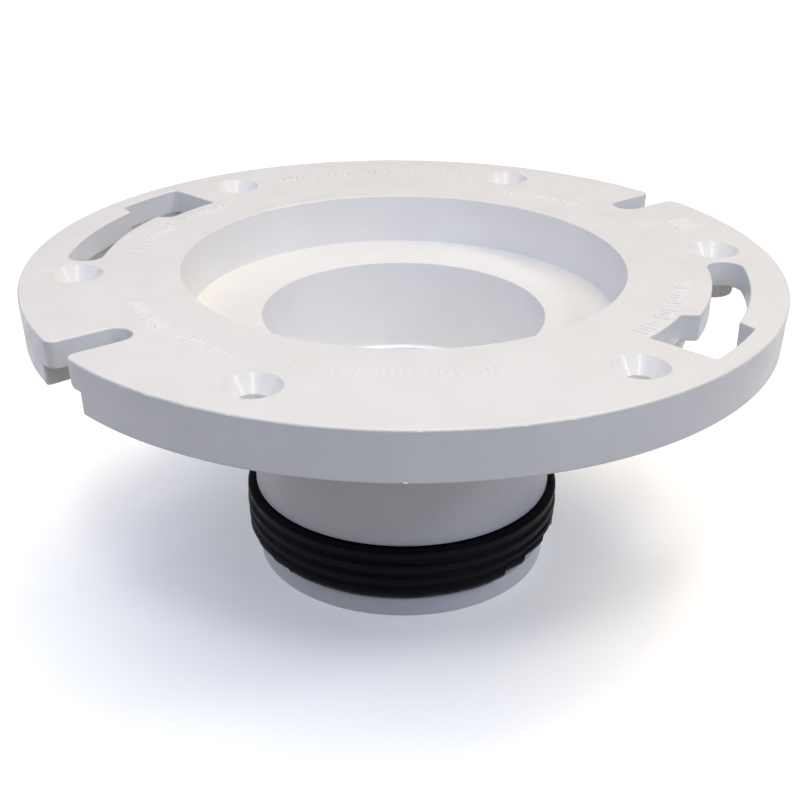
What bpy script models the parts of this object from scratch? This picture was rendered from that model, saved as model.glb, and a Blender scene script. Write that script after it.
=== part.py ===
"""Push-in toilet flange: a one-piece PVC moulding and the rubber gasket in its spigot groove.

Units are metres and +Z is up. The origin is the centre of the spigot's bottom rim, so the
part stands on the XY plane, and the two open notches in the deck lie on the X axis.
"""
import math

import bmesh
import bpy

MM = 0.001

# How finely round shapes are divided: whole turns, small circles, and degrees along an arc
TURN_STEPS = 72
CIRCLE_STEPS = 24
FILLET_STEP = 22.5
CURVE_STEP = 5.0

# Deck, the flat ring that the toilet stands over
TOTAL_HEIGHT = 76.2 * MM
DECK_RADIUS = 88.9 * MM
DECK_THICKNESS = 6.3 * MM
DECK_EDGE_ROUND = 0.8 * MM
DECK_BOTTOM = TOTAL_HEIGHT - DECK_THICKNESS

# Skirt around the deck and the ring wall inside it
SKIRT_HEIGHT = 11.5 * MM
SKIRT_BOTTOM_RADIUS = 88.2 * MM
SKIRT_INNER_RADIUS = 84.4 * MM
RING_WALL_OUTER_RADIUS = 67.6 * MM
RING_WALL_INNER_RADIUS = 65.2 * MM
SKIRT_BOTTOM = TOTAL_HEIGHT - SKIRT_HEIGHT

# Bowl that holds the wax ring
BOWL_TOP_RADIUS = 52.4 * MM
BOWL_FLOOR_RADIUS = 51.4 * MM
BOWL_DEPTH = 12.5 * MM
BOWL_WALL = 3.0 * MM
BOWL_FILLET = 1.2 * MM
BOWL_FLOOR = TOTAL_HEIGHT - BOWL_DEPTH
BOWL_UNDERSIDE = BOWL_FLOOR - BOWL_WALL

# Spigot and its stepped bore
SPIGOT_RADIUS = 36.9 * MM
SPIGOT_FILLET = 2.5 * MM
LIP_RADIUS = 36.3 * MM
LIP_CHAMFER = 0.8 * MM
BORE_RADIUS = 33.9 * MM
BORE_EDGE_ROUND = 0.7 * MM
LEDGE_DEPTH = 36.0 * MM
LOWER_BORE_RADIUS = 31.9 * MM
LEDGE = TOTAL_HEIGHT - LEDGE_DEPTH

# Gasket groove, and the gasket that is stretched into it
GROOVE_BOTTOM = 5.1 * MM
GROOVE_TOP = 19.8 * MM
GROOVE_RADIUS = 34.7 * MM
GASKET_GAP = 0.3 * MM
GASKET_TIP_RADIUS = 39.2 * MM
GASKET_ROOT_RADIUS = 38.2 * MM
GASKET_FINS = 4
FIN_FOOT = 0.15
FIN_TIP_LOW = 0.60
FIN_TIP_HIGH = 0.80

# Screw holes
HOLE_COUNT = 6
HOLE_FIRST_ANGLE = 30.0
HOLE_PITCH_RADIUS = 76.2 * MM
HOLE_RADIUS = 3.2 * MM
COUNTERSINK_RADIUS = 6.1 * MM
COUNTERSINK_HALF_ANGLE = 41.0
BOSS_RADIUS = 5.6 * MM
BOSS_BOTTOM = TOTAL_HEIGHT - 10.6 * MM

# Open notches, the wider gaps in the skirt under them, and the walls beside each gap
NOTCH_ANGLES = (0.0, 180.0)
NOTCH_HALF_WIDTH = 3.75 * MM
NOTCH_END_RADIUS = 71.9 * MM
NOTCH_MOUTH_ROUND = 2.3 * MM
SKIRT_GAP_HALF_WIDTH = 8.5 * MM
GAP_WALL_THICKNESS = 2.4 * MM

# Keyhole slots for the closet bolts: a curved slot that ends in a wide window
SLOT_TURNS = (0.0, 180.0)
SLOT_INNER_RADIUS = 71.7 * MM
SLOT_OUTER_RADIUS = 80.1 * MM
SLOT_ROUND_END_ANGLE = -36.4
WINDOW_INNER_RADIUS = 68.0 * MM
WINDOW_OUTER_RADIUS = 84.0 * MM
WINDOW_START_ANGLE = -64.7
WINDOW_STEP_LEAN = 1.4
WINDOW_END_ANGLE = -79.5

# Stiffening ribs between the bowl and the ring wall
RIB_COUNT = 12
RIB_THICKNESS = 2.2 * MM
RIB_BOTTOM = SKIRT_BOTTOM + 0.5 * MM

# How far cutters run past what they cut, welded shapes sink into what they join, and a gap's
# walls reach into the gap before it is cut to its width
CUT_MARGIN = 1.0 * MM
WELD_DEPTH = 0.8 * MM
GAP_WALL_TRIM = 0.2 * MM


def clear_scene():
    """Removes whatever objects the scene starts with."""
    for old in list(bpy.data.objects):
        bpy.data.objects.remove(old, do_unlink=True)


def make_material(name, color, roughness):
    """Returns a plain Principled material."""
    material = bpy.data.materials.new(name)
    material.use_nodes = True
    shader = material.node_tree.nodes["Principled BSDF"]
    shader.inputs["Base Color"].default_value = (*color, 1.0)
    shader.inputs["Roughness"].default_value = roughness
    shader.inputs["Metallic"].default_value = 0.0
    return material


def polar(radius, degrees):
    """Returns a point in the XY plane."""
    angle = math.radians(degrees)
    return (radius * math.cos(angle), radius * math.sin(angle))


def arc(centre, radius, start, end, step_angle=FILLET_STEP):
    """Returns the points of an arc, both ends included."""
    steps = math.ceil(abs(end - start) / step_angle)
    points = []
    for step in range(steps + 1):
        x, y = polar(radius, start + (end - start) * step / steps)
        points.append((centre[0] + x, centre[1] + y))
    return points


def circle(centre, radius):
    """Returns the points of a small circle."""
    return arc(centre, radius, 0, 360, 360 / CIRCLE_STEPS)[:-1]


def turned(points, degrees):
    """Returns XY points turned about the Z axis."""
    angle = math.radians(degrees)
    cosine, sine = math.cos(angle), math.sin(angle)
    return [(x * cosine - y * sine, x * sine + y * cosine) for x, y in points]


def add_revolved(bm, profile):
    """Spins a closed (radius, height) profile about the Z axis."""
    corners = [bm.verts.new((radius, 0.0, height)) for radius, height in profile]
    edges = []
    for index, corner in enumerate(corners):
        edges.append(bm.edges.new((corner, corners[(index + 1) % len(corners)])))
    bmesh.ops.spin(
        bm, geom=corners + edges, cent=(0.0, 0.0, 0.0), axis=(0.0, 0.0, 1.0),
        angle=math.tau, steps=TURN_STEPS, use_merge=True)


def add_stack(bm, levels):
    """Adds a closed solid through matching XY outlines, each given with its height."""
    rings = [[bm.verts.new((x, y, height)) for x, y in outline] for outline, height in levels]
    for lower, upper in zip(rings, rings[1:]):
        for index in range(len(lower)):
            after = (index + 1) % len(lower)
            bm.faces.new((lower[index], lower[after], upper[after], upper[index]))
    bm.faces.new(rings[0][::-1])
    bm.faces.new(rings[-1])


def add_prism(bm, outline, low, high):
    """Adds a closed prism over an XY outline."""
    add_stack(bm, [(outline, low), (outline, high)])


def box_outline(near, far, side, other_side):
    """Returns the outline of a box that spans near to far along X and two sides along Y."""
    return [(near, side), (far, side), (far, other_side), (near, other_side)]


def hole_centres():
    """Returns the XY centres of the screw holes."""
    angles = [HOLE_FIRST_ANGLE + index * 360.0 / HOLE_COUNT for index in range(HOLE_COUNT)]
    return [polar(HOLE_PITCH_RADIUS, angle) for angle in angles]


def finish_object(name, bm, material=None):
    """Turns a bmesh into a linked object whose faces point out."""
    bmesh.ops.recalc_face_normals(bm, faces=bm.faces)
    mesh = bpy.data.meshes.new(name)
    bm.to_mesh(mesh)
    bm.free()
    item = bpy.data.objects.new(name, mesh)
    bpy.context.scene.collection.objects.link(item)
    if material:
        mesh.materials.append(material)
    return item


def finish_helper(name, bm):
    """Turns a bmesh into a hidden helper for a Boolean modifier."""
    helper = finish_object(name, bm)
    helper.hide_render = True
    helper.display_type = "WIRE"
    return helper


def add_boolean(item, operation, helper):
    """Adds an exact Boolean modifier."""
    modifier = item.modifiers.new(helper.name, "BOOLEAN")
    modifier.operation = operation
    modifier.solver = "EXACT"
    modifier.object = helper


def shade_round(item):
    """Shades the round faces smooth and keeps the corners sharp."""
    item.data.shade_smooth()
    item.data.set_sharp_from_angle(angle=math.radians(30.0))


def body_profile():
    """Returns the moulding's closed section, from the deck's edge down and round to the bowl."""
    top = TOTAL_HEIGHT
    deck_edge_centre = (DECK_RADIUS - DECK_EDGE_ROUND, top - DECK_EDGE_ROUND)
    skirt_outside = [
        *arc(deck_edge_centre, DECK_EDGE_ROUND, 90, 0),
        (SKIRT_BOTTOM_RADIUS, SKIRT_BOTTOM),
    ]
    underside = [
        (SKIRT_INNER_RADIUS, SKIRT_BOTTOM),
        (SKIRT_INNER_RADIUS, DECK_BOTTOM),
        (RING_WALL_OUTER_RADIUS, DECK_BOTTOM),
        (RING_WALL_OUTER_RADIUS, SKIRT_BOTTOM),
        (RING_WALL_INNER_RADIUS, SKIRT_BOTTOM),
        (RING_WALL_INNER_RADIUS, DECK_BOTTOM),
        (BOWL_TOP_RADIUS + BOWL_WALL, DECK_BOTTOM),
        (BOWL_FLOOR_RADIUS + BOWL_WALL, BOWL_UNDERSIDE + BOWL_FILLET),
        (BOWL_FLOOR_RADIUS + BOWL_WALL - BOWL_FILLET, BOWL_UNDERSIDE),
    ]
    fillet_centre = (SPIGOT_RADIUS + SPIGOT_FILLET, BOWL_UNDERSIDE - SPIGOT_FILLET)
    spigot_outside = [
        *arc(fillet_centre, SPIGOT_FILLET, 90, 180),
        (SPIGOT_RADIUS, GROOVE_TOP),
        (GROOVE_RADIUS, GROOVE_TOP),
        (GROOVE_RADIUS, GROOVE_BOTTOM),
        (LIP_RADIUS, GROOVE_BOTTOM),
        (LIP_RADIUS, LIP_CHAMFER),
        (LIP_RADIUS - LIP_CHAMFER, 0.0),
    ]
    bore_edge_centre = (BORE_RADIUS + BORE_EDGE_ROUND, BOWL_FLOOR - BORE_EDGE_ROUND)
    bore = [
        (LOWER_BORE_RADIUS, 0.0),
        (LOWER_BORE_RADIUS, LEDGE),
        (BORE_RADIUS, LEDGE),
        *arc(bore_edge_centre, BORE_EDGE_ROUND, 180, 90),
    ]
    bowl_fillet_centre = (BOWL_FLOOR_RADIUS - BOWL_FILLET, BOWL_FLOOR + BOWL_FILLET)
    bowl = [
        *arc(bowl_fillet_centre, BOWL_FILLET, 270, 360),
        (BOWL_TOP_RADIUS, top),
    ]
    return skirt_outside + underside + spigot_outside + bore + bowl


def make_stiffeners():
    """Returns the screw bosses, the radial ribs and the walls beside the gaps as one helper."""
    bm = bmesh.new()
    top = DECK_BOTTOM + WELD_DEPTH
    for centre in hole_centres():
        add_prism(bm, circle(centre, BOSS_RADIUS), BOSS_BOTTOM, top)
    near = BOWL_FLOOR_RADIUS + BOWL_WALL - WELD_DEPTH
    far = RING_WALL_INNER_RADIUS + WELD_DEPTH
    rib = box_outline(near, far, -RIB_THICKNESS / 2, RIB_THICKNESS / 2)
    for index in range(RIB_COUNT):
        angle = (index + 0.5) * 360.0 / RIB_COUNT
        add_prism(bm, turned(rib, angle), RIB_BOTTOM, top)
    near = RING_WALL_OUTER_RADIUS - 2 * WELD_DEPTH
    far = SKIRT_INNER_RADIUS + WELD_DEPTH
    inside = SKIRT_GAP_HALF_WIDTH - GAP_WALL_TRIM
    outside = SKIRT_GAP_HALF_WIDTH + GAP_WALL_THICKNESS
    for angle in NOTCH_ANGLES:
        for wall in (box_outline(near, far, inside, outside), box_outline(near, far, -outside, -inside)):
            add_prism(bm, turned(wall, angle), SKIRT_BOTTOM, top)
    return finish_helper("stiffeners", bm)


def make_screw_holes():
    """Returns the cutter for the countersunk screw holes."""
    bm = bmesh.new()
    slope = math.tan(math.radians(COUNTERSINK_HALF_ANGLE))
    cone_bottom = TOTAL_HEIGHT - (COUNTERSINK_RADIUS - HOLE_RADIUS) / slope
    for centre in hole_centres():
        shank = circle(centre, HOLE_RADIUS)
        mouth = circle(centre, COUNTERSINK_RADIUS + CUT_MARGIN * slope)
        bottom = BOSS_BOTTOM - CUT_MARGIN
        add_stack(bm, [(shank, bottom), (shank, cone_bottom), (mouth, TOTAL_HEIGHT + CUT_MARGIN)])
    return finish_helper("screw_holes", bm)


def notch_outline():
    """Returns a notch on +X: a round inner end, straight sides and a rounded mouth."""
    half = NOTCH_HALF_WIDTH
    corner = NOTCH_MOUTH_ROUND
    corner_x = math.sqrt((DECK_RADIUS - corner) ** 2 - (half + corner) ** 2)
    rim_angle = math.degrees(math.atan2(half + corner, corner_x))
    past_rim = DECK_RADIUS + 5 * CUT_MARGIN
    upper_side = [
        *arc((corner_x, half + corner), corner, 270, 360 + rim_angle),
        polar(past_rim, rim_angle),
    ]
    inner_end = arc((NOTCH_END_RADIUS + half, 0.0), half, 90, 270)
    lower_side = [(x, -y) for x, y in upper_side]
    return inner_end + lower_side + upper_side[::-1]


def make_notches():
    """Returns the cutter for the open notches."""
    bm = bmesh.new()
    for angle in NOTCH_ANGLES:
        outline = turned(notch_outline(), angle)
        add_prism(bm, outline, SKIRT_BOTTOM - CUT_MARGIN, TOTAL_HEIGHT + CUT_MARGIN)
    return finish_helper("notches", bm)


def make_skirt_gaps():
    """Returns the cutter for the gaps in the skirt under the notches."""
    bm = bmesh.new()
    near = RING_WALL_OUTER_RADIUS + CUT_MARGIN / 2
    far = DECK_RADIUS + 5 * CUT_MARGIN
    outline = box_outline(near, far, -SKIRT_GAP_HALF_WIDTH, SKIRT_GAP_HALF_WIDTH)
    for angle in NOTCH_ANGLES:
        add_prism(bm, turned(outline, angle), SKIRT_BOTTOM - CUT_MARGIN, DECK_BOTTOM)
    return finish_helper("skirt_gaps", bm)


def slot_outline():
    """Returns a keyhole slot: the round end first, then along the outside to the window."""
    middle = (SLOT_INNER_RADIUS + SLOT_OUTER_RADIUS) / 2
    half = (SLOT_OUTER_RADIUS - SLOT_INNER_RADIUS) / 2
    centre_angle = SLOT_ROUND_END_ANGLE - math.degrees(half / middle)
    leaning_start = WINDOW_START_ANGLE - WINDOW_STEP_LEAN
    round_end = arc(polar(middle, centre_angle), half, centre_angle + 180, centre_angle)
    origin = (0.0, 0.0)
    return [
        *round_end,
        *arc(origin, SLOT_OUTER_RADIUS, centre_angle, WINDOW_START_ANGLE, CURVE_STEP)[1:],
        *arc(origin, WINDOW_OUTER_RADIUS, leaning_start, WINDOW_END_ANGLE, CURVE_STEP),
        *arc(origin, WINDOW_INNER_RADIUS, WINDOW_END_ANGLE, leaning_start, CURVE_STEP),
        *arc(origin, SLOT_INNER_RADIUS, WINDOW_START_ANGLE, centre_angle, CURVE_STEP)[:-1],
    ]


def make_bolt_slots():
    """Returns the cutter for the two keyhole slots."""
    bm = bmesh.new()
    for turn in SLOT_TURNS:
        outline = turned(slot_outline(), turn)
        add_prism(bm, outline, DECK_BOTTOM - CUT_MARGIN, TOTAL_HEIGHT + CUT_MARGIN)
    return finish_helper("bolt_slots", bm)


def make_flange_body():
    """Builds the moulding: the turned section, its stiffeners, and the cuts through its deck."""
    bm = bmesh.new()
    add_revolved(bm, body_profile())
    pvc = make_material("white_pvc", (0.82, 0.82, 0.80), 0.38)
    body = finish_object("flange_body", bm, pvc)
    add_boolean(body, "UNION", make_stiffeners())
    for make_cutter in (make_screw_holes, make_skirt_gaps, make_notches, make_bolt_slots):
        add_boolean(body, "DIFFERENCE", make_cutter())
    shade_round(body)
    return body


def gasket_profile():
    """Returns the gasket's closed section: a flat back and a row of sealing fins."""
    low = GROOVE_BOTTOM + GASKET_GAP
    high = GROOVE_TOP - GASKET_GAP
    back = GROOVE_RADIUS + GASKET_GAP
    pitch = (high - low) / GASKET_FINS
    points = [(back, high), (back, low)]
    for fin in range(GASKET_FINS):
        foot = low + fin * pitch
        points.append((GASKET_ROOT_RADIUS, foot + FIN_FOOT * pitch))
        points.append((GASKET_TIP_RADIUS, foot + FIN_TIP_LOW * pitch))
        points.append((GASKET_TIP_RADIUS, foot + FIN_TIP_HIGH * pitch))
    points.append((GASKET_ROOT_RADIUS, high))
    return points


def make_gasket():
    """Builds the rubber gasket that seals the spigot inside the drain pipe."""
    bm = bmesh.new()
    add_revolved(bm, gasket_profile())
    rubber = make_material("black_rubber", (0.012, 0.012, 0.014), 0.55)
    gasket = finish_object("pipe_gasket", bm, rubber)
    shade_round(gasket)
    return gasket


clear_scene()
make_flange_body()
make_gasket()
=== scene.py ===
"""Looks of the push-in toilet flange: a fine moulding, its rubber gasket, light and camera."""
import math

import bmesh
import bpy
from mathutils import Matrix, Vector, noise


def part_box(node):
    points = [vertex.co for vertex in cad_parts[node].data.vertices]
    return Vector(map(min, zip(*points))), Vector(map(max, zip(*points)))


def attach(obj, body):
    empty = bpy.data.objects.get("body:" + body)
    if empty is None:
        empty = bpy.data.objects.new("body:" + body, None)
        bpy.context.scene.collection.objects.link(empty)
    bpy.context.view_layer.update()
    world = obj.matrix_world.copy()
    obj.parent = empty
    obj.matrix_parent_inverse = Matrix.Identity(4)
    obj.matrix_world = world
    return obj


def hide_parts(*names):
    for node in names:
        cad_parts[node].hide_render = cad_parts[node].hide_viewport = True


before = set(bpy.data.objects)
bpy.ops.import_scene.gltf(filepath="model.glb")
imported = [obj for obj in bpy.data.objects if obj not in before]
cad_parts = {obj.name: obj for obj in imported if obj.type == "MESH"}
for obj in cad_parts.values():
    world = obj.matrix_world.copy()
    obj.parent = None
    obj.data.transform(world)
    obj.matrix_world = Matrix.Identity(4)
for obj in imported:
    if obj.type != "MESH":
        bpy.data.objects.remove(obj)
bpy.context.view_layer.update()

MM = 0.001
BODY = "root"

# Driving sizes, read from the frame
BODY_LOW, BODY_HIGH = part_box("flange_body")
GASKET_LOW, GASKET_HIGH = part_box("pipe_gasket")
DECK_TOP = BODY_HIGH.z
DECK_RADIUS = BODY_HIGH.y
GASKET_TIP_RADIUS = GASKET_HIGH.y

# Deck, skirt and ring wall
DECK_THICKNESS = 6.3 * MM
DECK_BOTTOM = DECK_TOP - DECK_THICKNESS
SKIRT_HEIGHT = 11.5 * MM
SKIRT_BOTTOM = DECK_TOP - SKIRT_HEIGHT
SKIRT_BOTTOM_RADIUS = 88.2 * MM
SKIRT_INNER_RADIUS = 84.4 * MM
RING_WALL_OUTER_RADIUS = 67.6 * MM
RING_WALL_INNER_RADIUS = 65.2 * MM

# Bowl
BOWL_TOP_RADIUS = 52.4 * MM
BOWL_FLOOR_RADIUS = 51.4 * MM
BOWL_FLOOR = DECK_TOP - 12.5 * MM
BOWL_WALL = 3.0 * MM
BOWL_UNDERSIDE = BOWL_FLOOR - BOWL_WALL

# Spigot, bore and groove
SPIGOT_RADIUS = 36.9 * MM
LIP_RADIUS = 36.3 * MM
BORE_RADIUS = 33.9 * MM
LOWER_BORE_RADIUS = 31.9 * MM
LEDGE = DECK_TOP - 36.0 * MM
GASKET_GAP = 0.3 * MM
GROOVE_BOTTOM = GASKET_LOW.z - GASKET_GAP
GROOVE_TOP = GASKET_HIGH.z + GASKET_GAP
GROOVE_RADIUS = 34.7 * MM

# Gasket fins, from the lowest up
FIN_COUNT = 4
FIN_ROOT_RADIUS = 38.2 * MM
FIN_TIP_RADII = (38.8 * MM, 39.0 * MM, GASKET_TIP_RADIUS, 39.1 * MM)

# The gasket's lower edge is trimmed all round, and torn away by more in places, each given as
# (angle, millimetres) with straight slopes between them. The band above the edge follows it.
EDGE_BAND = 7.5 * MM
EDGE_TRIM = 0.7 * MM
EDGE_WAVE = 0.25 * MM
EDGE_NICK = 0.15 * MM
GASKET_TEARS = (
    (0.0, 0.0), (96.0, 0.0), (97.0, 0.5), (112.0, 0.8), (113.0, 0.0), (150.0, 0.1),
    (166.6, 0.9), (167.2, 0.3), (177.6, 0.7), (178.2, 0.2), (187.2, 0.5), (187.8, 0.1),
    (232.0, 0.0), (272.0, 0.5), (272.6, 1.8), (282.4, 1.2), (283.0, 2.9), (296.4, 2.3),
    (297.0, 4.0), (310.0, 3.5), (310.8, 1.6), (318.0, 1.2), (318.8, 0.0), (360.0, 0.0),
)

# Screw holes and their bosses
HOLE_ANGLES = [30.0 + 60.0 * index for index in range(6)]
HOLE_PITCH_RADIUS = 76.2 * MM
HOLE_RADIUS = 3.2 * MM
COUNTERSINK_RADIUS = 6.1 * MM
COUNTERSINK_HALF_ANGLE = math.radians(41.0)
COUNTERSINK_DEPTH = (COUNTERSINK_RADIUS - HOLE_RADIUS) / math.tan(COUNTERSINK_HALF_ANGLE)
BOSS_RADIUS = 5.6 * MM
BOSS_BOTTOM = DECK_TOP - 10.6 * MM
BOSS_ROUND = 0.5 * MM

# Open notches and the gaps in the skirt under them
NOTCH_TURNS = (0.0, 180.0)
NOTCH_HALF_WIDTH = 3.75 * MM
NOTCH_END_RADIUS = 71.9 * MM
NOTCH_MOUTH_ROUND = 2.3 * MM
SKIRT_GAP_HALF_WIDTH = 8.5 * MM
GAP_WALL_THICKNESS = 2.4 * MM

# Keyhole slots: angles in degrees, radii in metres
SLOT_TURNS = (0.0, 180.0)
SLOT_INNER_RADIUS = 71.7 * MM
SLOT_OUTER_RADIUS = 80.1 * MM
SLOT_END_ANGLE = -36.4
WINDOW_INNER_RADIUS = 68.0 * MM
WINDOW_OUTER_RADIUS = 84.0 * MM
WINDOW_START_ANGLE = -64.7
WINDOW_END_ANGLE = -79.5
WINDOW_STEP_LEAN = 1.4

# Ribs between the bowl and the ring wall, the rounding of their lower edges, and how much ribs,
# walls and bosses widen up to the deck
RIB_COUNT = 12
RIB_THICKNESS = 2.2 * MM
RIB_BOTTOM = SKIRT_BOTTOM + 0.5 * MM
RIB_ROUND = 0.35 * MM
RIB_CHAMFER = 0.12 * MM
DRAFT = 0.2 * MM

# Raised marks in arcs, each (first angle, last angle, inner radius, outer radius, height); their
# lengths follow the pattern, where 0 leaves a space. They stand where the real part has lettering.
MARK_WIDTH = 0.75 * MM
MARK_PITCH = 1.45
MARK_PATTERN = (1.0, 0.55, 1.0, 1.0, 0.55, 0.0, 1.0, 0.55, 0.55, 1.0, 0.0, 0.0)
MARK_ARCS = (
    (5.0, 30.0, 63.4 * MM, 66.6 * MM, 0.25 * MM),
    (38.0, 80.0, 73.6 * MM, 76.4 * MM, 0.25 * MM),
    (101.0, 137.0, 62.8 * MM, 66.4 * MM, 0.25 * MM),
    (168.5, 184.5, 63.6 * MM, 67.2 * MM, 0.25 * MM),
    (187.5, 206.0, 63.6 * MM, 67.2 * MM, 0.12 * MM),
    (211.0, 251.0, 62.6 * MM, 66.6 * MM, 0.10 * MM),
    (281.5, 313.0, 63.4 * MM, 67.2 * MM, 0.25 * MM),
    (343.0, 349.0, 74.5 * MM, 81.5 * MM, 0.25 * MM),
)

# Flash on the rim, each (angle, radius, height, half sizes outward, along and up)
FLASH_RADIUS = DECK_RADIUS - 0.55 * MM
NUBS = (
    (-165.0, FLASH_RADIUS, DECK_TOP - 0.75 * MM, (0.65 * MM, 1.5 * MM, 0.6 * MM)),
    (-160.6, FLASH_RADIUS, DECK_TOP - 0.55 * MM, (0.62 * MM, 2.2 * MM, 0.45 * MM)),
    (-154.6, FLASH_RADIUS, DECK_TOP - 0.60 * MM, (0.62 * MM, 1.3 * MM, 0.5 * MM)),
    (-149.0, FLASH_RADIUS, DECK_TOP - 0.50 * MM, (0.60 * MM, 1.8 * MM, 0.4 * MM)),
    (-126.0, FLASH_RADIUS, DECK_TOP - 0.50 * MM, (0.60 * MM, 1.0 * MM, 0.4 * MM)),
    (-117.0, FLASH_RADIUS, DECK_TOP - 0.50 * MM, (0.62 * MM, 1.1 * MM, 0.45 * MM)),
    (-113.6, FLASH_RADIUS, DECK_TOP - 0.50 * MM, (0.64 * MM, 0.9 * MM, 0.45 * MM)),
    (-107.3, FLASH_RADIUS, DECK_TOP - 0.50 * MM, (0.62 * MM, 1.3 * MM, 0.4 * MM)),
    (-127.5, SKIRT_BOTTOM_RADIUS - 0.15 * MM, SKIRT_BOTTOM + 0.3 * MM,
     (0.35 * MM, 0.6 * MM, 0.33 * MM)),
)

# Colours
PVC_COLOR = (0.885, 0.88, 0.875)
PVC_GRIME = (0.80, 0.79, 0.77)
PVC_SPECK = (0.16, 0.13, 0.10)
PVC_ROUGHNESS = 0.38
TURNED_ROUGHNESS = 0.30
TURNED_SPECULAR = 0.7
GROOVE_PITCH = 0.22 * MM
RUBBER_COLOR = (0.0035, 0.0035, 0.0065)
RUBBER_DUST = (0.012, 0.012, 0.016)
FLOOR_COLOR = (0.92, 0.92, 0.92)

# Rounding of cut edges, the steps of a full turn, the longest side along a slot, how far cutters
# run past a face, how far added shapes sink in, and the distance within which points merge
EDGE_ROUND = 0.4 * MM
TURN_STEPS = 240
LONGEST_SIDE = 1.2 * MM
PAST = 1.0 * MM
INTO = 0.8 * MM
WELD = 0.002 * MM


# ---------------------------------------------------------------- outlines

def polar(radius, degrees):
    """A point in the plane."""
    angle = math.radians(degrees)
    return Vector((radius * math.cos(angle), radius * math.sin(angle)))


def circle(radius, steps, centre=(0.0, 0.0)):
    """The points of a circle, counter-clockwise."""
    return [Vector(centre) + polar(radius, 360.0 * step / steps) for step in range(steps)]


def turned(points, degrees):
    """Plane points turned about the origin."""
    turn = Matrix.Rotation(math.radians(degrees), 2)
    return [turn @ point for point in points]


def rounded(corners, arc_step=15.0):
    """A closed outline from (x, y, fillet radius) corners, each fillet an arc."""
    points = []
    count = len(corners)
    for index, (x, y, radius) in enumerate(corners):
        here = Vector((x, y))
        before = (Vector(corners[index - 1][:2]) - here).normalized()
        after = (Vector(corners[(index + 1) % count][:2]) - here).normalized()
        opening = before.angle(after)
        turn = math.pi - opening
        if radius <= 0.0 or turn < 0.02:
            points.append(here)
            continue
        reach = radius * math.tan(turn / 2)
        centre = here + (before + after).normalized() * (radius / math.sin(opening / 2))
        start = here + before * reach - centre
        side = 1.0 if before.x * after.y - before.y * after.x < 0.0 else -1.0
        steps = max(2, math.ceil(math.degrees(turn) / arc_step))
        for step in range(steps + 1):
            points.append(centre + Matrix.Rotation(side * turn * step / steps, 2) @ start)
    return points


def divided(points, longest):
    """A closed outline whose long sides are cut into shorter ones."""
    result = []
    for index, point in enumerate(points):
        after = points[(index + 1) % len(points)]
        pieces = max(1, math.ceil((after - point).length / longest))
        result += [point.lerp(after, piece / pieces) for piece in range(pieces)]
    return result


def widened(points, distance):
    """A counter-clockwise outline moved outward by a distance, corner by corner."""
    result = []
    for index, point in enumerate(points):
        before = (point - points[index - 1]).normalized()
        after = (points[(index + 1) % len(points)] - point).normalized()
        along = (before + after).normalized()
        stretch = distance / max(0.5, along.dot(after))
        result.append(point + Vector((along.y, -along.x)) * stretch)
    return result


def counter_clockwise(points):
    """The outline in counter-clockwise order."""
    area = 0.0
    for index, point in enumerate(points):
        before = points[index - 1]
        area += before.x * point.y - before.y * point.x
    return points if area > 0.0 else points[::-1]


def edge_levels(low, high, radius, steps=4):
    """(height, widening) levels of a cut whose upper and lower edges are rounded over."""
    quarter = [math.radians(80.0 * step / steps) for step in range(steps + 1)]
    rise = 0.04 * MM
    levels = []
    for angle in quarter:
        levels.append((radius * (1 - math.sin(angle)), radius * (1 - math.cos(angle))))
    depth, wide = levels[-1]
    levels.append((-rise, wide + (rise + depth) * math.tan(quarter[-1])))
    levels.append((-PAST, levels[-1][1]))
    lower = [(low + depth, wide) for depth, wide in reversed(levels)]
    upper = [(high - depth, wide) for depth, wide in levels]
    return lower + upper


# ---------------------------------------------------------------- meshes

def skin(bm, rings, closed=False):
    """Joins matching rings of points with faces, and either closes them round or caps the ends."""
    loops = [[bm.verts.new(point) for point in ring] for ring in rings]
    pairs = list(zip(loops, loops[1:]))
    if closed:
        pairs.append((loops[-1], loops[0]))
    for lower, upper in pairs:
        for index in range(len(lower)):
            after = (index + 1) % len(lower)
            bm.faces.new((lower[index], lower[after], upper[after], upper[index]))
    if not closed:
        bm.faces.new(loops[0][::-1])
        bm.faces.new(loops[-1])


def at_height(points, height):
    """Plane points lifted to a height."""
    return [(point.x, point.y, height) for point in points]


def revolve(bm, profile, steps=TURN_STEPS):
    """Turns a closed (radius, height) profile about the Z axis."""
    skin(bm, [at_height(circle(radius, steps), height) for radius, height in profile], closed=True)


def add_cut(bm, outline, levels):
    """Adds a cutter over an outline that widens from level to level."""
    outline = counter_clockwise(outline)
    skin(bm, [at_height(widened(outline, wider), height) for height, wider in levels])


def make_object(name, bm):
    """A linked object from a bmesh, with its faces pointing out."""
    bmesh.ops.recalc_face_normals(bm, faces=bm.faces)
    mesh = bpy.data.meshes.new(name)
    bm.to_mesh(mesh)
    bm.free()
    item = bpy.data.objects.new(name, mesh)
    bpy.context.scene.collection.objects.link(item)
    return item


def apply_modifiers(item):
    """Replaces an object's mesh by what its modifiers make of it."""
    graph = bpy.context.evaluated_depsgraph_get()
    mesh = bpy.data.meshes.new_from_object(item.evaluated_get(graph))
    item.modifiers.clear()
    item.data = mesh


def combine(item, operation, bm):
    """Cuts a bmesh from an object, or joins it on, exactly."""
    helper = make_object("helper", bm)
    modifier = item.modifiers.new("combine", "BOOLEAN")
    modifier.operation = operation
    modifier.solver = "EXACT"
    modifier.object = helper
    apply_modifiers(item)
    bpy.data.objects.remove(helper)
    bm = bmesh.new()
    bm.from_mesh(item.data)
    bmesh.ops.remove_doubles(bm, verts=bm.verts, dist=WELD)
    bm.to_mesh(item.data)
    bm.free()


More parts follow.
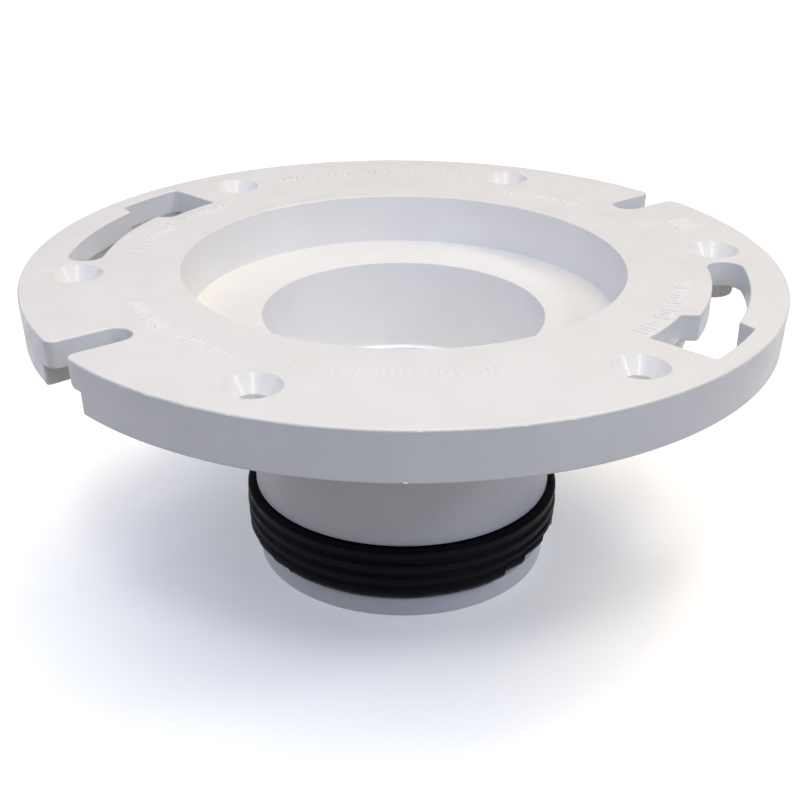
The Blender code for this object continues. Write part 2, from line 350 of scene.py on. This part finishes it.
def shade(item, sharp_degrees=40.0):
    """Smooth shading that keeps flat faces flat and real corners sharp."""
    item.data.shade_smooth()
    item.data.set_sharp_from_angle(angle=math.radians(sharp_degrees))
    modifier = item.modifiers.new("normals", "WEIGHTED_NORMAL")
    modifier.keep_sharp = True
    apply_modifiers(item)


# ---------------------------------------------------------------- the moulding

def rim_radius(height):
    """The deck's outer radius at a height: the rim drafts inward to the skirt's bottom."""
    share = (DECK_TOP - height) / SKIRT_HEIGHT
    return DECK_RADIUS + (SKIRT_BOTTOM_RADIUS - DECK_RADIUS) * share


def body_profile():
    """The moulding's section as (radius, height, fillet) corners, from the rim to the bowl."""
    draft = 0.3 * MM
    return [
        (DECK_RADIUS, DECK_TOP, 0.5 * MM),
        (SKIRT_BOTTOM_RADIUS, SKIRT_BOTTOM, 0.5 * MM),
        (SKIRT_INNER_RADIUS + draft, SKIRT_BOTTOM, 0.5 * MM),
        (SKIRT_INNER_RADIUS, DECK_BOTTOM, 0.8 * MM),
        (RING_WALL_OUTER_RADIUS, DECK_BOTTOM, 0.8 * MM),
        (RING_WALL_OUTER_RADIUS - draft, SKIRT_BOTTOM, 0.4 * MM),
        (RING_WALL_INNER_RADIUS + draft, SKIRT_BOTTOM, 0.4 * MM),
        (RING_WALL_INNER_RADIUS, DECK_BOTTOM, 0.8 * MM),
        (BOWL_TOP_RADIUS + BOWL_WALL, DECK_BOTTOM, 0.8 * MM),
        (BOWL_FLOOR_RADIUS + BOWL_WALL, BOWL_UNDERSIDE, 2.2 * MM),
        (SPIGOT_RADIUS, BOWL_UNDERSIDE, 2.5 * MM),
        (SPIGOT_RADIUS, GROOVE_TOP, 0.3 * MM),
        (GROOVE_RADIUS, GROOVE_TOP, 0.3 * MM),
        (GROOVE_RADIUS, GROOVE_BOTTOM, 0.3 * MM),
        (LIP_RADIUS, GROOVE_BOTTOM, 0.4 * MM),
        (LIP_RADIUS, 0.0, 0.8 * MM),
        (LOWER_BORE_RADIUS, 0.0, 0.5 * MM),
        (LOWER_BORE_RADIUS, LEDGE, 0.3 * MM),
        (BORE_RADIUS, LEDGE, 0.4 * MM),
        (BORE_RADIUS, BOWL_FLOOR, 0.3 * MM),
        (BOWL_FLOOR_RADIUS, BOWL_FLOOR, 0.35 * MM),
        (BOWL_TOP_RADIUS, DECK_TOP, 0.35 * MM),
    ]


def box_corners(near, far, low, high):
    """A box from near to far along X and from low to high along Y, counter-clockwise."""
    return (near, low), (far, low), (far, high), (near, high)


def wall_levels(bottom):
    """(height, widening) levels of a rib or wall whose lower edges are rounded."""
    levels = [(bottom, -RIB_ROUND), (bottom + RIB_CHAMFER, -RIB_CHAMFER)]
    return levels + [(bottom + RIB_ROUND, 0.0), (DECK_BOTTOM + INTO, DRAFT)]


def add_stiffeners(bm):
    """The screw bosses, the ribs beside the bowl, and the walls beside the skirt's gaps."""
    boss_levels = [(BOSS_BOTTOM, -BOSS_ROUND), (BOSS_BOTTOM + 0.2 * MM, -0.15 * MM)]
    boss_levels += [(BOSS_BOTTOM + BOSS_ROUND, 0.0), (DECK_BOTTOM + INTO, DRAFT)]
    for angle in HOLE_ANGLES:
        add_cut(bm, circle(BOSS_RADIUS, 48, polar(HOLE_PITCH_RADIUS, angle)), boss_levels)
    near = BOWL_FLOOR_RADIUS + BOWL_WALL - INTO
    far = RING_WALL_INNER_RADIUS + INTO
    half = RIB_THICKNESS / 2
    rib = [Vector(corner) for corner in box_corners(near, far, -half, half)]
    for index in range(RIB_COUNT):
        angle = (index + 0.5) * 360.0 / RIB_COUNT
        add_cut(bm, turned(rib, angle), wall_levels(RIB_BOTTOM))
    near = RING_WALL_OUTER_RADIUS - 2 * INTO
    far = SKIRT_INNER_RADIUS + INTO
    inside = SKIRT_GAP_HALF_WIDTH - 0.2 * MM
    outside = SKIRT_GAP_HALF_WIDTH + GAP_WALL_THICKNESS
    for turn in NOTCH_TURNS:
        for low, high in ((inside, outside), (-outside, -inside)):
            wall = [Vector(corner) for corner in box_corners(near, far, low, high)]
            add_cut(bm, turned(wall, turn), wall_levels(SKIRT_BOTTOM))


def add_screw_holes(bm):
    """Countersunk through holes, with the countersink's rim slightly broken."""
    cone_bottom = DECK_TOP - COUNTERSINK_DEPTH
    widest = COUNTERSINK_RADIUS - HOLE_RADIUS
    broken = 0.15 * MM
    levels = [
        (BOSS_BOTTOM - PAST, 0.3 * MM + PAST),
        (BOSS_BOTTOM + 0.3 * MM, 0.0),
        (cone_bottom, 0.0),
        (DECK_TOP - broken, widest - broken * math.tan(COUNTERSINK_HALF_ANGLE)),
        (DECK_TOP + PAST, widest + PAST),
    ]
    for angle in HOLE_ANGLES:
        add_cut(bm, circle(HOLE_RADIUS, 64, polar(HOLE_PITCH_RADIUS, angle)), levels)


def mouth_outline(half, corner, rim, inner_corners):
    """An opening on +X that is open to the rim, whose two mouth corners are rounded to it."""
    corner_x = math.sqrt((rim - corner) ** 2 - (half + corner) ** 2)
    rim_angle = math.atan2(half + corner, corner_x)
    centre = Vector((corner_x, half + corner))
    upper = []
    for step in range(9):
        angle = -math.pi / 2 + (math.pi / 2 + rim_angle) * step / 8
        upper.append(centre + corner * Vector((math.cos(angle), math.sin(angle))))
    past_rim = Vector((math.cos(rim_angle), math.sin(rim_angle))) * (DECK_RADIUS + 5 * PAST)
    upper.append(past_rim)
    lower = [Vector((point.x, -point.y)) for point in upper]
    return lower + upper[::-1] + inner_corners


def add_notches(bm):
    """The open notches through the deck, drafted with the rim and rounded over at the top."""
    end_centre = Vector((NOTCH_END_RADIUS + NOTCH_HALF_WIDTH, 0.0))
    angles = [90.0 + 180.0 * step / 16 for step in range(17)]
    inner_end = [end_centre + polar(NOTCH_HALF_WIDTH, angle) for angle in angles]
    for turn in NOTCH_TURNS:
        rings = []
        for height, wider in edge_levels(DECK_BOTTOM, DECK_TOP, EDGE_ROUND):
            rim = rim_radius(min(height, DECK_TOP))
            outline = mouth_outline(NOTCH_HALF_WIDTH, NOTCH_MOUTH_ROUND, rim, inner_end)
            rings.append(at_height(turned(widened(outline, wider), turn), height))
        lowest = turned(widened(outline, EDGE_ROUND), turn)
        rings.insert(0, at_height(lowest, SKIRT_BOTTOM - PAST))
        skin(bm, rings)


def add_skirt_gaps(bm):
    """The gaps in the skirt under the notches."""
    near = RING_WALL_OUTER_RADIUS + PAST / 2
    half = SKIRT_GAP_HALF_WIDTH
    inner_end = [Vector((near, half)), Vector((near, -half))]
    for turn in NOTCH_TURNS:
        rings = []
        for height in (SKIRT_BOTTOM - PAST, DECK_BOTTOM):
            outline = mouth_outline(half, 0.6 * MM, rim_radius(height), inner_end)
            rings.append(at_height(turned(outline, turn), height))
        skin(bm, rings)


def slot_outline():
    """A keyhole slot, laid out along its arc and then bent round the axis."""
    middle = (SLOT_INNER_RADIUS + SLOT_OUTER_RADIUS) / 2
    half = (SLOT_OUTER_RADIUS - SLOT_INNER_RADIUS) / 2
    leaning_start = WINDOW_START_ANGLE - WINDOW_STEP_LEAN
    corners = [
        (SLOT_END_ANGLE, SLOT_INNER_RADIUS, half * 0.98),
        (SLOT_END_ANGLE, SLOT_OUTER_RADIUS, half * 0.98),
        (WINDOW_START_ANGLE, SLOT_OUTER_RADIUS, 0.8 * MM),
        (leaning_start, WINDOW_OUTER_RADIUS, 0.3 * MM),
        (WINDOW_END_ANGLE, WINDOW_OUTER_RADIUS, 0.6 * MM),
        (WINDOW_END_ANGLE, WINDOW_INNER_RADIUS, 0.6 * MM),
        (leaning_start, WINDOW_INNER_RADIUS, 0.9 * MM),
        (WINDOW_START_ANGLE, SLOT_INNER_RADIUS, 0.9 * MM),
    ]
    laid_out = [(math.radians(angle) * middle, radius, fillet) for angle, radius, fillet in corners]
    along = divided(rounded(laid_out), LONGEST_SIDE)
    return [polar(point.y, math.degrees(point.x / middle)) for point in along]


def add_bolt_slots(bm):
    """The two keyhole slots through the deck."""
    for turn in SLOT_TURNS:
        levels = edge_levels(DECK_BOTTOM, DECK_TOP, EDGE_ROUND)
        add_cut(bm, turned(slot_outline(), turn), levels)


def add_marks(bm):
    """Raised bars in arcs round the deck, where a moulding carries its lettering."""
    for start, end, near, far, high in MARK_ARCS:
        count = round((end - start) / MARK_PITCH)
        for index in range(count):
            share = MARK_PATTERN[index % len(MARK_PATTERN)]
            if not share:
                continue
            middle = (near + far) / 2
            long = share * (far - near) / 2
            half = MARK_WIDTH / 2
            corners = box_corners(middle - long, middle + long, -half, half)
            outline = rounded([(x, y, 0.7 * half) for x, y in corners], 30.0)
            angle = start + index * MARK_PITCH
            levels = [(DECK_TOP - 0.4 * MM, 0.15 * MM), (DECK_TOP + 0.5 * high, 0.0)]
            levels += [(DECK_TOP + 0.85 * high, -0.06 * MM), (DECK_TOP + high, -0.16 * MM)]
            add_cut(bm, turned(outline, angle), levels)


def add_nubs(bm):
    """Small lumps of flash that the mould's parting line leaves on the rim."""
    for angle, radius, height, half_sizes in NUBS:
        place = Matrix.Translation((*polar(radius, angle), height))
        turn = Matrix.Rotation(math.radians(angle), 4, "Z")
        shape = place @ turn @ Matrix.Diagonal((*half_sizes, 1.0))
        bmesh.ops.create_uvsphere(bm, u_segments=18, v_segments=11, radius=1.0, matrix=shape)


def make_body():
    """The PVC moulding."""
    bm = bmesh.new()
    revolve(bm, rounded(body_profile()))
    body = make_object("flange_body_moulding", bm)
    steps = (
        ("UNION", add_stiffeners),
        ("DIFFERENCE", add_screw_holes),
        ("DIFFERENCE", add_skirt_gaps),
        ("DIFFERENCE", add_notches),
        ("DIFFERENCE", add_bolt_slots),
        ("UNION", add_marks),
        ("UNION", add_nubs),
    )
    for operation, add_shapes in steps:
        bm = bmesh.new()
        add_shapes(bm)
        combine(body, operation, bm)
    shade(body)
    return body


# ---------------------------------------------------------------- the gasket

def gasket_profile():
    """The rubber ring's section: a flat back, and low fins that lean up and out."""
    low, high = GASKET_LOW.z, GASKET_HIGH.z
    back = GROOVE_RADIUS + GASKET_GAP
    pitch = (high - low) / FIN_COUNT
    corners = [(back, high, 0.2 * MM), (back, low, 0.2 * MM)]
    for fin in range(FIN_COUNT):
        foot = low + fin * pitch
        tip = FIN_TIP_RADII[fin]
        corners.append((FIN_ROOT_RADIUS, foot + 0.12 * pitch, 0.5 * MM))
        corners.append((tip, foot + 0.52 * pitch, 0.45 * MM))
        corners.append((tip - 0.05 * MM, foot + 0.86 * pitch, 0.4 * MM))
    corners.append((FIN_ROOT_RADIUS, high, 0.4 * MM))
    return rounded(corners, 20.0)


def edge_lift(degrees):
    """How far the gasket's lower edge is cut back at an angle."""
    around = Vector((*polar(1.0, degrees), 0.0))
    waves = EDGE_WAVE * noise.noise(around * 5.0)
    nicks = EDGE_NICK * noise.noise(around * 30.0)
    lift = EDGE_TRIM + waves + nicks
    angle = degrees % 360.0
    for (start, first), (end, last) in zip(GASKET_TEARS, GASKET_TEARS[1:]):
        if start <= angle < end:
            lift += MM * (first + (last - first) * (angle - start) / (end - start))
    return lift


def make_gasket():
    """The rubber gasket, with the uneven lower edge of a hand-trimmed ring."""
    bm = bmesh.new()
    revolve(bm, gasket_profile(), 3 * TURN_STEPS)
    low = GASKET_LOW.z
    for vert in bm.verts:
        share = max(0.0, 1.0 - (vert.co.z - low) / EDGE_BAND)
        vert.co.z += edge_lift(math.degrees(math.atan2(vert.co.y, vert.co.x))) * share
    gasket = make_object("pipe_gasket_rubber", bm)
    shade(gasket, 60.0)
    return gasket


# ---------------------------------------------------------------- materials

def principled(name, color, roughness):
    """A material, its node tree and its Principled shader."""
    material = bpy.data.materials.new(name)
    material.use_nodes = True
    shader = material.node_tree.nodes["Principled BSDF"]
    shader.inputs["Base Color"].default_value = (*color, 1.0)
    shader.inputs["Roughness"].default_value = roughness
    return material, material.node_tree, shader


def add_node(tree, kind, inputs=None, **settings):
    """A node whose inputs are given by name or number, as values or as sockets to link from."""
    node = tree.nodes.new(kind)
    for key, value in settings.items():
        setattr(node, key, value)
    for key, value in (inputs or {}).items():
        if isinstance(value, bpy.types.NodeSocket):
            tree.links.new(value, node.inputs[key])
        else:
            node.inputs[key].default_value = value
    return node


def math_node(tree, operation, *values):
    """The value of a Math node."""
    inputs = dict(enumerate(values))
    return add_node(tree, "ShaderNodeMath", inputs, operation=operation).outputs[0]


def noise_node(tree, place, scale, detail=3.0):
    """The grey value of a noise at a number of bumps per metre."""
    inputs = {"Vector": place, "Scale": scale, "Detail": detail, "Roughness": 0.55}
    return add_node(tree, "ShaderNodeTexNoise", inputs).outputs[0]


def ramp_node(tree, value, low, high, low_result, high_result):
    """A value mapped smoothly from one range to another."""
    names = ("Value", "From Min", "From Max", "To Min", "To Max")
    inputs = dict(zip(names, (value, low, high, low_result, high_result)))
    smooth = add_node(tree, "ShaderNodeMapRange", inputs, interpolation_type="SMOOTHSTEP")
    return smooth.outputs[0]


def mix_colors(tree, share, first, second):
    """Two colours mixed by a share."""
    node = add_node(tree, "ShaderNodeMix", {"Factor": share}, data_type="RGBA")
    for index, color in ((6, first), (7, second)):
        if isinstance(color, bpy.types.NodeSocket):
            tree.links.new(color, node.inputs[index])
        else:
            node.inputs[index].default_value = (*color, 1.0)
    return node.outputs[2]


def hole_offset(tree, place):
    """The vector and distance from the nearest screw hole's axis; holes are 60 degrees apart."""
    split = add_node(tree, "ShaderNodeSeparateXYZ", {0: place})
    x, y = split.outputs[0], split.outputs[1]
    sector = math_node(tree, "SNAP", math_node(tree, "ARCTAN2", y, x), math.pi / 3)
    azimuth = math_node(tree, "ADD", sector, math.radians(HOLE_ANGLES[0]))
    centre_x = math_node(tree, "MULTIPLY", math_node(tree, "COSINE", azimuth), HOLE_PITCH_RADIUS)
    centre_y = math_node(tree, "MULTIPLY", math_node(tree, "SINE", azimuth), HOLE_PITCH_RADIUS)
    offset_x = math_node(tree, "SUBTRACT", x, centre_x)
    offset_y = math_node(tree, "SUBTRACT", y, centre_y)
    offset = add_node(tree, "ShaderNodeCombineXYZ", {0: offset_x, 1: offset_y}).outputs[0]
    distance = add_node(tree, "ShaderNodeVectorMath", {0: offset}, operation="LENGTH").outputs[1]
    return offset, distance


def bump_node(tree, height, strength, distance, below=None):
    """A bumped normal, on top of another one where that is given."""
    inputs = {"Height": height, "Strength": strength, "Distance": distance}
    if below:
        inputs["Normal"] = below
    return add_node(tree, "ShaderNodeBump", inputs).outputs[0]


def pvc_color(tree, place, uneven):
    """The moulding's colour: faintly mottled, with clouds of grime and a few specks."""
    mottle = noise_node(tree, place, 70.0)
    clouds = noise_node(tree, place, 18.0)
    shade_color = tuple(channel * 0.97 for channel in PVC_COLOR)
    color = mix_colors(tree, ramp_node(tree, mottle, 0.35, 0.7, 0.0, 1.0), PVC_COLOR, shade_color)
    grime = ramp_node(tree, clouds, 0.52, 0.72, 0.0, 0.5)
    patches = ramp_node(tree, uneven, 0.45, 0.7, 0.0, 1.0)
    color = mix_colors(tree, math_node(tree, "MULTIPLY", grime, patches), color, PVC_GRIME)
    cells = add_node(tree, "ShaderNodeTexVoronoi", {"Vector": place, "Scale": 150.0})
    chance = add_node(tree, "ShaderNodeSeparateColor", {0: cells.outputs["Color"]}).outputs[0]
    dots = ramp_node(tree, cells.outputs["Distance"], 0.02, 0.05, 1.0, 0.0)
    specks = math_node(tree, "MULTIPLY", dots, ramp_node(tree, chance, 0.90, 0.93, 0.0, 1.0))
    return mix_colors(tree, math_node(tree, "MULTIPLY", specks, 0.55), color, PVC_SPECK)


def make_pvc():
    """White moulded PVC: satin, with fine grain, and countersinks with fine turned grooves."""
    material, tree, shader = principled("white_pvc", PVC_COLOR, PVC_ROUGHNESS)
    place = add_node(tree, "ShaderNodeTexCoord").outputs["Object"]
    fine = noise_node(tree, place, 2600.0, 2.0)
    uneven = noise_node(tree, place, 240.0, 4.0)
    tree.links.new(pvc_color(tree, place, uneven), shader.inputs["Base Color"])

    # The shine is stretched about each hole's axis, inside its countersink only
    offset, distance = hole_offset(tree, place)
    rim = COUNTERSINK_RADIUS
    turned_area = ramp_node(tree, distance, rim * 0.97, rim * 1.01, 1.0, 0.0)
    rough = ramp_node(tree, uneven, 0.3, 0.7, PVC_ROUGHNESS - 0.05, PVC_ROUGHNESS + 0.07)
    roughness = add_node(tree, "ShaderNodeMix", {0: turned_area, 2: rough, 3: TURNED_ROUGHNESS})
    tree.links.new(roughness.outputs[0], shader.inputs["Roughness"])
    tree.links.new(math_node(tree, "MULTIPLY", turned_area, 0.95), shader.inputs["Anisotropic"])
    tree.links.new(offset, shader.inputs["Tangent"])
    shine = ramp_node(tree, turned_area, 0.0, 1.0, 0.5, TURNED_SPECULAR)
    tree.links.new(shine, shader.inputs["Specular IOR Level"])

    groove = math_node(tree, "SINE", math_node(tree, "MULTIPLY", distance, math.tau / GROOVE_PITCH))
    groove = math_node(tree, "MULTIPLY", groove, turned_area)
    normal = bump_node(tree, uneven, 0.5, 0.10 * MM)
    normal = bump_node(tree, fine, 0.5, 0.012 * MM, normal)
    normal = bump_node(tree, groove, 0.4, 0.006 * MM, normal)
    tree.links.new(normal, shader.inputs["Normal"])
    return material


def make_rubber():
    """Black gasket rubber: almost without shine, with fine grain and a little dust."""
    material, tree, shader = principled("black_rubber", RUBBER_COLOR, 0.5)
    place = add_node(tree, "ShaderNodeTexCoord").outputs["Object"]
    mottle = noise_node(tree, place, 160.0)
    fine = noise_node(tree, place, 1800.0, 2.0)
    dust = ramp_node(tree, mottle, 0.55, 0.75, 0.0, 0.25)
    tree.links.new(mix_colors(tree, dust, RUBBER_COLOR, RUBBER_DUST), shader.inputs["Base Color"])
    tree.links.new(ramp_node(tree, mottle, 0.3, 0.7, 0.40, 0.55), shader.inputs["Roughness"])
    shader.inputs["Specular IOR Level"].default_value = 0.09
    tree.links.new(bump_node(tree, fine, 0.5, 0.02 * MM), shader.inputs["Normal"])
    return material


# ---------------------------------------------------------------- stage

CAMERA_DISTANCE = 321.9 * MM
CAMERA_ELEVATION = 19.66
CAMERA_AZIMUTH = -127.94
CAMERA_DIP = 5.88
CAMERA_PAN = 0.11
CAMERA_ROLL = 0.57
CAMERA_LENS = 60.75
CAMERA_SENSOR = 36.0


def direction(azimuth, elevation):
    """The unit vector towards an azimuth and an elevation, in degrees."""
    height = math.radians(elevation)
    return Vector((*polar(math.cos(height), azimuth), math.sin(height)))


def make_camera():
    """A camera that looks at the deck's centre, then is dipped, panned and rolled a little."""
    data = bpy.data.cameras.new("camera")
    data.sensor_width = CAMERA_SENSOR
    data.lens = CAMERA_LENS
    data.clip_start = 0.01
    data.clip_end = 20.0
    camera = bpy.data.objects.new("camera", data)
    bpy.context.scene.collection.objects.link(camera)
    away = direction(CAMERA_AZIMUTH, CAMERA_ELEVATION)
    camera.location = Vector((0.0, 0.0, DECK_TOP)) + away * CAMERA_DISTANCE
    aim = (-away).to_track_quat("-Z", "Y").to_matrix().to_4x4()
    pan = Matrix.Rotation(math.radians(CAMERA_PAN), 4, "Y")
    dip = Matrix.Rotation(math.radians(-CAMERA_DIP), 4, "X")
    roll = Matrix.Rotation(math.radians(CAMERA_ROLL), 4, "Z")
    camera.matrix_world = Matrix.Translation(camera.location) @ aim @ pan @ dip @ roll
    bpy.context.scene.camera = camera


# Studio lights, each (name, azimuth and elevation, size, power, colour, aim as azimuth and
# distance on the floor); all stand LIGHT_DISTANCE from a point on the axis at MIDDLE_HEIGHT,
# which is also what those without an aim point at
MIDDLE_HEIGHT = 0.06
LIGHT_DISTANCE = 1.6
LIGHTS = (
    ("left_low", (141.8, 30.0), 0.9, 4.0, (0.520, 0.625, 1.0), None),
    ("front_right_low", (-83.2, 30.0), 0.9, 5.1, (0.400, 0.564, 1.0), None),
    ("front_left", (-173.2, 50.0), 0.9, 2.3, (0.030, 0.310, 1.0), None),
    ("back_right_high", (6.8, 70.0), 0.9, 7.9, (1.0, 0.765, 0.424), None),
    ("front_high", (-128.2, 70.0), 0.9, 5.7, (1.0, 0.953, 0.764), None),
    ("lamp_front", (-128.2, 57.0), 0.26, 3.3, (1.0, 0.980, 0.940), None),
    ("lamp_right", (-52.0, 42.0), 0.26, 3.5, (1.0, 0.980, 0.940), None),
    ("floor_back", (51.8, 45.0), 1.2, 4.3, (0.687, 0.784, 1.0), (51.8, 1.1)),
)
WORLD_COLOR = (1.0, 0.943, 0.930)
WORLD_STRENGTH = 0.181
WORLD_STRENGTH_SEEN = 1.1
FLOOR_RADIUS = 1.5

# A light overhead that shines on the floor only
BACKDROP_HEIGHT = 1.8
BACKDROP_SIZE = 2.5
BACKDROP_POWER = 30.0
BACKDROP_COLOR = (1.0, 1.0, 1.0)

# A small light on the floor that shines up into the bore
BORE_LIGHT_HEIGHT = 1.0 * MM
BORE_LIGHT_SIZE = 0.044
BORE_POWER = 0.0068
BORE_COLOR = (1.0, 1.0, 0.940)

# A narrow spot that shines straight down the bore and fills this share of its radius at the ledge
LEDGE_SPOT_HEIGHT = 1.0
LEDGE_SPOT_POWER = 11.5
LEDGE_SPOT_SHARE = 0.99


def make_floor():
    """A plain pale disc, clear from below; its bounce onto the object is left to the lights."""
    bm = bmesh.new()
    bm.faces.new([bm.verts.new(point) for point in at_height(circle(FLOOR_RADIUS, 96), 0.0)])
    floor = make_object("floor", bm)
    material, tree, shader = principled("floor_white", FLOOR_COLOR, 0.7)
    from_below = add_node(tree, "ShaderNodeNewGeometry").outputs["Backfacing"]
    tree.links.new(math_node(tree, "SUBTRACT", 1.0, from_below), shader.inputs["Alpha"])
    floor.data.materials.append(material)
    floor.visible_diffuse = False
    return floor


def make_light(name, location, target, size, power, color):
    """A square soft box aimed at a point."""
    data = bpy.data.lights.new(name, "AREA")
    data.shape = "SQUARE"
    data.size = size
    data.energy = power
    data.color = color
    light = bpy.data.objects.new(name, data)
    light.location = location
    light.rotation_euler = (Vector(target) - Vector(location)).to_track_quat("-Z", "Y").to_euler()
    bpy.context.scene.collection.objects.link(light)
    return light


def make_boxes(floor):
    """The soft boxes round the object, and two with a use of their own: the floor and the bore."""
    origin = (0.0, 0.0, 0.0)
    middle = Vector((0.0, 0.0, MIDDLE_HEIGHT))
    for name, (azimuth, elevation), size, power, color, aim in LIGHTS:
        target = (*polar(aim[1], aim[0]), 0.0) if aim else middle
        location = middle + direction(azimuth, elevation) * LIGHT_DISTANCE
        make_light(name, location, target, size, power, color)

    above = (0.0, 0.0, BACKDROP_HEIGHT)
    backdrop = make_light("backdrop", above, origin, BACKDROP_SIZE, BACKDROP_POWER, BACKDROP_COLOR)
    floor_only = bpy.data.collections.new("floor_only")
    floor_only.objects.link(floor)
    backdrop.light_linking.receiver_collection = floor_only
    backdrop.light_linking.blocker_collection = floor_only

    under = (0.0, 0.0, BORE_LIGHT_HEIGHT)
    bore = make_light("through_bore", under, above, BORE_LIGHT_SIZE, BORE_POWER, BORE_COLOR)
    bore.visible_camera = False
    bore.visible_glossy = False


def make_ledge_spot():
    """The narrow spot down the bore."""
    spot = bpy.data.lights.new("down_bore", "SPOT")
    spot.energy = LEDGE_SPOT_POWER
    spot.spot_size = 2 * math.atan(LEDGE_SPOT_SHARE * BORE_RADIUS / (LEDGE_SPOT_HEIGHT - LEDGE))
    spot.spot_blend = 0.0
    spot.shadow_soft_size = 0.0
    down_bore = bpy.data.objects.new("down_bore", spot)
    down_bore.location = (0.0, 0.0, LEDGE_SPOT_HEIGHT)
    bpy.context.scene.collection.objects.link(down_bore)


def make_world():
    """A faint even world, which the camera itself sees as white."""
    world = bpy.data.worlds.new("studio")
    world.use_nodes = True
    tree = world.node_tree
    background = tree.nodes["Background"]
    background.inputs["Color"].default_value = (*WORLD_COLOR, 1.0)
    seen = add_node(tree, "ShaderNodeLightPath").outputs["Is Camera Ray"]
    extra = WORLD_STRENGTH_SEEN - WORLD_STRENGTH
    strength = math_node(tree, "MULTIPLY_ADD", seen, extra, WORLD_STRENGTH)
    tree.links.new(strength, background.inputs["Strength"])
    bpy.context.scene.world = world


make_camera()
make_boxes(make_floor())
make_ledge_spot()
make_world()
bpy.context.scene.view_settings.view_transform = "Standard"

body = make_body()
body.data.materials.clear()
body.data.materials.append(make_pvc())
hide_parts("flange_body")
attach(body, BODY)

gasket = make_gasket()
gasket.data.materials.append(make_rubber())
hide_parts("pipe_gasket")
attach(gasket, BODY)
